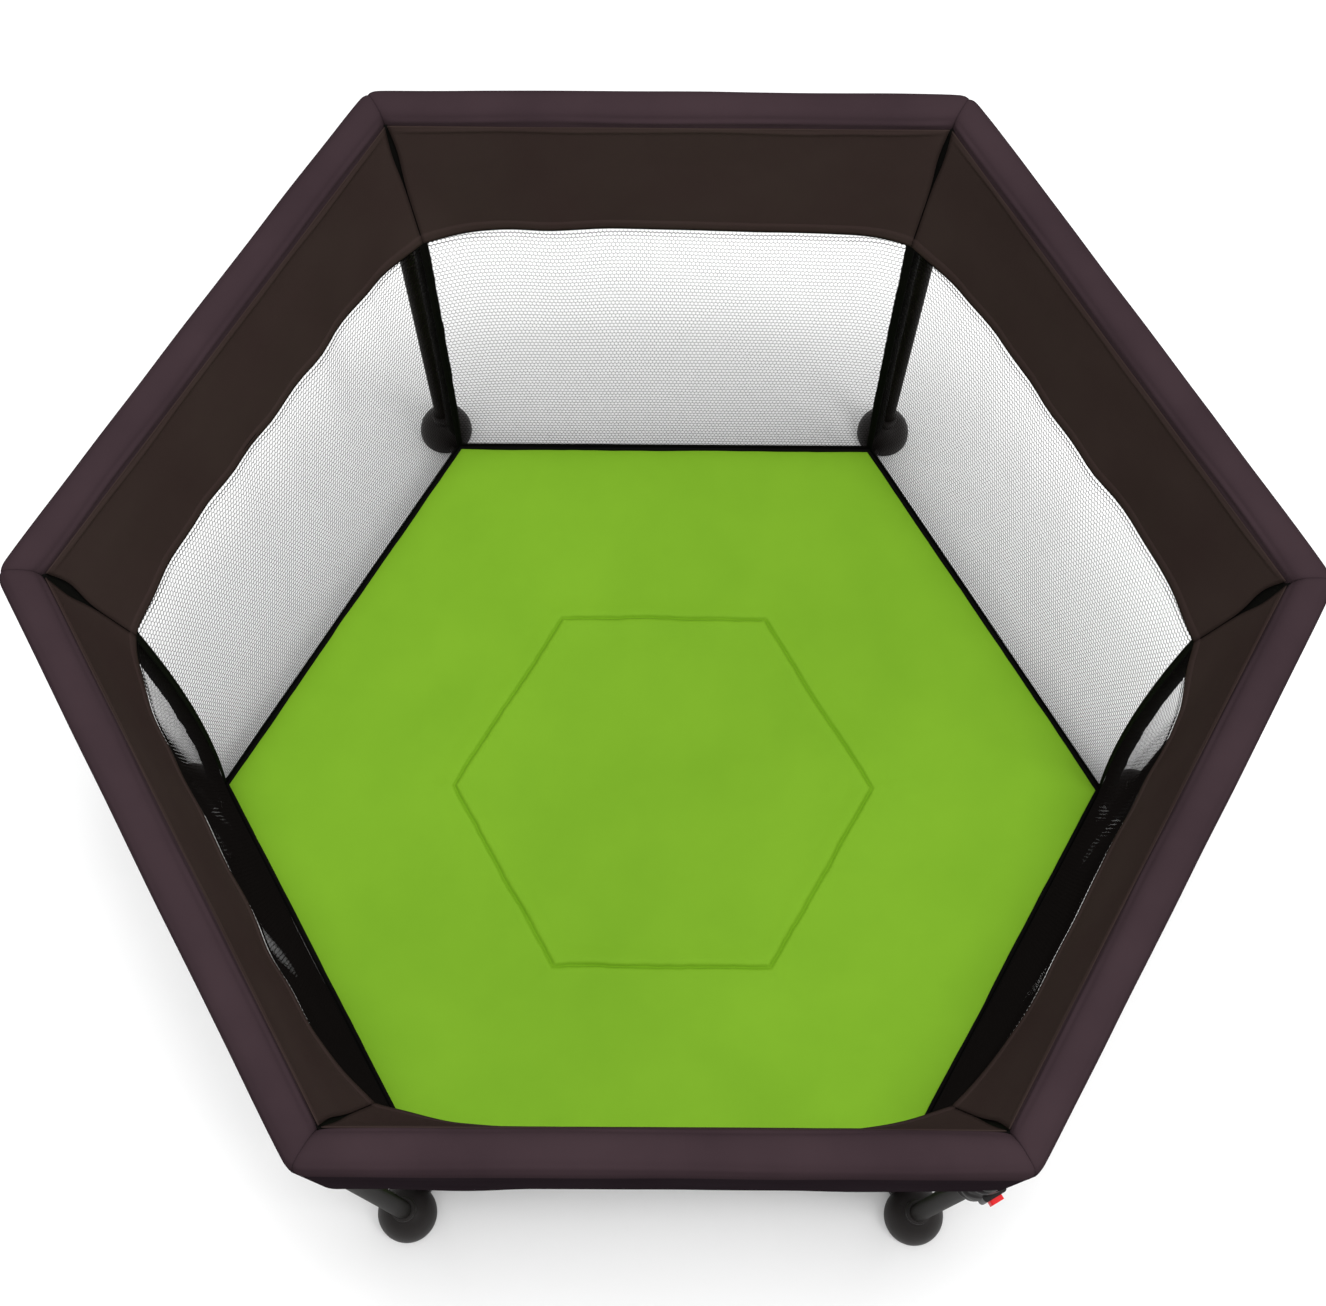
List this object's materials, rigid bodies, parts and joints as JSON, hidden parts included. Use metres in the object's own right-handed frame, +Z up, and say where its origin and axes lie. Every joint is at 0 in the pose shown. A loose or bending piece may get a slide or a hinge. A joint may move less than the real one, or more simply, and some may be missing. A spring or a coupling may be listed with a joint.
{
  "type": "folding playpen",
  "caption": "Hexagonal folding playpen with padded rim, fabric band and net walls, legs on dome feet, folding rails and struts, and a padded floor mat",
  "frame": {"origin": "on the floor, under the centre of the hexagon", "axes": "+X points at corner 1, so X runs from corner to corner; +Y points square at the back wall; +Z is up"},
  "size_m": [1.3142, 1.1458, 0.744],
  "materials": {
    "frame_tube": "satin black powder coat",
    "strut_bar": "satin black powder coat",
    "rivet_steel": "plain rivets",
    "moulding": "fine-grained black moulding",
    "foot_moulding": "satin dark grey moulding",
    "strap_webbing": "woven webbing",
    "floor_cloth": "coated black cloth",
    "rim_cloth": "satin-woven dark plum cloth over foam",
    "panel_cloth": "dark brown woven band above open black net",
    "mat_cloth": "smooth coated green cloth, padded",
    "mat_board": "thin hardboard",
    "button_red": "smooth red moulding"
  },
  "bodies": {
    "hub": {"hub_base": "moulding", "hub_cap": "moulding", "hub_pins": "rivet_steel", "pull_strap": "strap_webbing", "floor_sheet": "floor_cloth"},
    "mat": {"mat_cover": "mat_cloth", "mat_boards": "mat_board"},
    "strut_1": {"strut_1": "strut_bar"},
    "leg_1": {"leg_tube_1": "frame_tube", "foot_1": "foot_moulding", "corner_bracket_1": "moulding", "rim_cover_1": "rim_cloth", "side_panel_1": "panel_cloth"},
    "rail_left_1": {"rail_left_1": "frame_tube"},
    "rail_right_1": {"rail_right_1": "frame_tube"},
    "strut_2": {"strut_2": "strut_bar"},
    "leg_2": {"leg_tube_2": "frame_tube", "foot_2": "foot_moulding", "corner_bracket_2": "moulding", "rim_cover_2": "rim_cloth", "side_panel_2": "panel_cloth"},
    "rail_left_2": {"rail_left_2": "frame_tube"},
    "rail_right_2": {"rail_right_2": "frame_tube"},
    "strut_3": {"strut_3": "strut_bar"},
    "leg_3": {"leg_tube_3": "frame_tube", "foot_3": "foot_moulding", "corner_bracket_3": "moulding", "rim_cover_3": "rim_cloth", "side_panel_3": "panel_cloth"},
    "rail_left_3": {"rail_left_3": "frame_tube"},
    "rail_right_3": {"rail_right_3": "frame_tube"},
    "strut_4": {"strut_4": "strut_bar"},
    "leg_4": {"leg_tube_4": "frame_tube", "foot_4": "foot_moulding", "corner_bracket_4": "moulding", "rim_cover_4": "rim_cloth", "side_panel_4": "panel_cloth"},
    "rail_left_4": {"rail_left_4": "frame_tube"},
    "rail_right_4": {"rail_right_4": "frame_tube"},
    "strut_5": {"strut_5": "strut_bar"},
    "leg_5": {"leg_tube_5": "frame_tube", "foot_5": "foot_moulding", "corner_bracket_5": "moulding", "rim_cover_5": "rim_cloth", "side_panel_5": "panel_cloth"},
    "rail_left_5": {"rail_left_5": "frame_tube"},
    "rail_right_5": {"rail_right_5": "frame_tube"},
    "strut_6": {"strut_6": "strut_bar"},
    "leg_6": {"leg_tube_6": "frame_tube", "foot_6": "foot_moulding", "corner_bracket_6": "moulding", "rim_cover_6": "rim_cloth", "side_panel_6": "panel_cloth", "latch_housing": "moulding", "button_spring": "rivet_steel"},
    "rail_left_6": {"rail_left_6": "frame_tube"},
    "rail_right_6": {"rail_right_6": "frame_tube"},
    "button": {"release_button": "button_red"}
  },
  "joints": [
    {"name": "fold", "type": "hinge", "parent": "hub", "child": "strut_1", "pos_m": [0.06, 0, 0.009], "axis": [0, 1, 0], "range_deg": [0, 80], "deforming": ["rim_cover_1", "rim_cover_2", "rim_cover_3", "rim_cover_4", "rim_cover_5", "rim_cover_6", "side_panel_1", "side_panel_2", "side_panel_3", "side_panel_4", "side_panel_5", "side_panel_6", "floor_sheet"]},
    {"name": "leg_upright_1", "type": "hinge", "parent": "strut_1", "child": "leg_1", "pos_m": [0.573, 0, 0.009], "axis": [0, 1, 0], "range_deg": [-80, 0]},
    {"name": "rail_left_fold_1", "type": "hinge", "parent": "leg_1", "child": "rail_left_1", "pos_m": [0.603, 0.05196, 0.72], "axis": [-0.866, -0.5, 0], "range_deg": [0, 80]},
    {"name": "rail_right_fold_1", "type": "hinge", "parent": "leg_2", "child": "rail_right_1", "pos_m": [0.3465, 0.49623, 0.72], "axis": [-0.866, -0.5, 0], "range_deg": [-80, 0]},
    {"name": "strut_fold_2", "type": "hinge", "parent": "hub", "child": "strut_2", "pos_m": [0.03, 0.05196, 0.009], "axis": [-0.866, 0.5, 0], "range_deg": [0, 80]},
    {"name": "leg_upright_2", "type": "hinge", "parent": "strut_2", "child": "leg_2", "pos_m": [0.2865, 0.49623, 0.009], "axis": [-0.866, 0.5, 0], "range_deg": [-80, 0]},
    {"name": "rail_left_fold_2", "type": "hinge", "parent": "leg_2", "child": "rail_left_2", "pos_m": [0.2565, 0.54819, 0.72], "axis": [0, -1, 0], "range_deg": [0, 80]},
    {"name": "rail_right_fold_2", "type": "hinge", "parent": "leg_3", "child": "rail_right_2", "pos_m": [-0.2565, 0.54819, 0.72], "axis": [0, -1, 0], "range_deg": [-80, 0]},
    {"name": "strut_fold_3", "type": "hinge", "parent": "hub", "child": "strut_3", "pos_m": [-0.03, 0.05196, 0.009], "axis": [-0.866, -0.5, 0], "range_deg": [0, 80]},
    {"name": "leg_upright_3", "type": "hinge", "parent": "strut_3", "child": "leg_3", "pos_m": [-0.2865, 0.49623, 0.009], "axis": [-0.866, -0.5, 0], "range_deg": [-80, 0]},
    {"name": "rail_left_fold_3", "type": "hinge", "parent": "leg_3", "child": "rail_left_3", "pos_m": [-0.3465, 0.49623, 0.72], "axis": [0.866, -0.5, 0], "range_deg": [0, 80]},
    {"name": "rail_right_fold_3", "type": "hinge", "parent": "leg_4", "child": "rail_right_3", "pos_m": [-0.603, 0.05196, 0.72], "axis": [0.866, -0.5, 0], "range_deg": [-80, 0]},
    {"name": "strut_fold_4", "type": "hinge", "parent": "hub", "child": "strut_4", "pos_m": [-0.06, 0, 0.009], "axis": [0, -1, 0], "range_deg": [0, 80]},
    {"name": "leg_upright_4", "type": "hinge", "parent": "strut_4", "child": "leg_4", "pos_m": [-0.573, 0, 0.009], "axis": [0, -1, 0], "range_deg": [-80, 0]},
    {"name": "rail_left_fold_4", "type": "hinge", "parent": "leg_4", "child": "rail_left_4", "pos_m": [-0.603, -0.05196, 0.72], "axis": [0.866, 0.5, 0], "range_deg": [0, 80]},
    {"name": "rail_right_fold_4", "type": "hinge", "parent": "leg_5", "child": "rail_right_4", "pos_m": [-0.3465, -0.49623, 0.72], "axis": [0.866, 0.5, 0], "range_deg": [-80, 0]},
    {"name": "strut_fold_5", "type": "hinge", "parent": "hub", "child": "strut_5", "pos_m": [-0.03, -0.05196, 0.009], "axis": [0.866, -0.5, 0], "range_deg": [0, 80]},
    {"name": "leg_upright_5", "type": "hinge", "parent": "strut_5", "child": "leg_5", "pos_m": [-0.2865, -0.49623, 0.009], "axis": [0.866, -0.5, 0], "range_deg": [-80, 0]},
    {"name": "rail_left_fold_5", "type": "hinge", "parent": "leg_5", "child": "rail_left_5", "pos_m": [-0.2565, -0.54819, 0.72], "axis": [0, 1, 0], "range_deg": [0, 80]},
    {"name": "rail_right_fold_5", "type": "hinge", "parent": "leg_6", "child": "rail_right_5", "pos_m": [0.2565, -0.54819, 0.72], "axis": [0, 1, 0], "range_deg": [-80, 0]},
    {"name": "strut_fold_6", "type": "hinge", "parent": "hub", "child": "strut_6", "pos_m": [0.03, -0.05196, 0.009], "axis": [0.866, 0.5, 0], "range_deg": [0, 80]},
    {"name": "leg_upright_6", "type": "hinge", "parent": "strut_6", "child": "leg_6", "pos_m": [0.2865, -0.49623, 0.009], "axis": [0.866, 0.5, 0], "range_deg": [-80, 0]},
    {"name": "rail_left_fold_6", "type": "hinge", "parent": "leg_6", "child": "rail_left_6", "pos_m": [0.3465, -0.49623, 0.72], "axis": [-0.866, 0.5, 0], "range_deg": [0, 80]},
    {"name": "rail_right_fold_6", "type": "hinge", "parent": "leg_1", "child": "rail_right_6", "pos_m": [0.603, -0.05196, 0.72], "axis": [-0.866, 0.5, 0], "range_deg": [-80, 0]},
    {"name": "mat_lift", "type": "slide", "parent": "hub", "child": "mat", "axis": [0, 0, 1], "range_m": [0, 0.24], "deforming": ["mat_cover", "mat_boards"]},
    {"name": "button_press", "type": "slide", "parent": "leg_6", "child": "button", "axis": [-0.5, 0.866, 0], "range_m": [0, 0.004], "stiffness_N_per_m": 200, "springref_m": -0.004, "deforming": ["button_spring"]}
  ],
  "couplings": [
    {"joint": "leg_upright_1", "follows": "fold", "ratio": -1},
    {"joint": "rail_left_fold_1", "follows": "fold", "ratio": 1},
    {"joint": "rail_right_fold_1", "follows": "fold", "ratio": -1},
    {"joint": "strut_fold_2", "follows": "fold", "ratio": 1},
    {"joint": "leg_upright_2", "follows": "fold", "ratio": -1},
    {"joint": "rail_left_fold_2", "follows": "fold", "ratio": 1},
    {"joint": "rail_right_fold_2", "follows": "fold", "ratio": -1},
    {"joint": "strut_fold_3", "follows": "fold", "ratio": 1},
    {"joint": "leg_upright_3", "follows": "fold", "ratio": -1},
    {"joint": "rail_left_fold_3", "follows": "fold", "ratio": 1},
    {"joint": "rail_right_fold_3", "follows": "fold", "ratio": -1},
    {"joint": "strut_fold_4", "follows": "fold", "ratio": 1},
    {"joint": "leg_upright_4", "follows": "fold", "ratio": -1},
    {"joint": "rail_left_fold_4", "follows": "fold", "ratio": 1},
    {"joint": "rail_right_fold_4", "follows": "fold", "ratio": -1},
    {"joint": "strut_fold_5", "follows": "fold", "ratio": 1},
    {"joint": "leg_upright_5", "follows": "fold", "ratio": -1},
    {"joint": "rail_left_fold_5", "follows": "fold", "ratio": 1},
    {"joint": "rail_right_fold_5", "follows": "fold", "ratio": -1},
    {"joint": "strut_fold_6", "follows": "fold", "ratio": 1},
    {"joint": "leg_upright_6", "follows": "fold", "ratio": -1},
    {"joint": "rail_left_fold_6", "follows": "fold", "ratio": 1},
    {"joint": "rail_right_fold_6", "follows": "fold", "ratio": -1},
    {"joint": "mat_lift", "follows": "fold", "m_per_rad": 0.17}
  ]
}
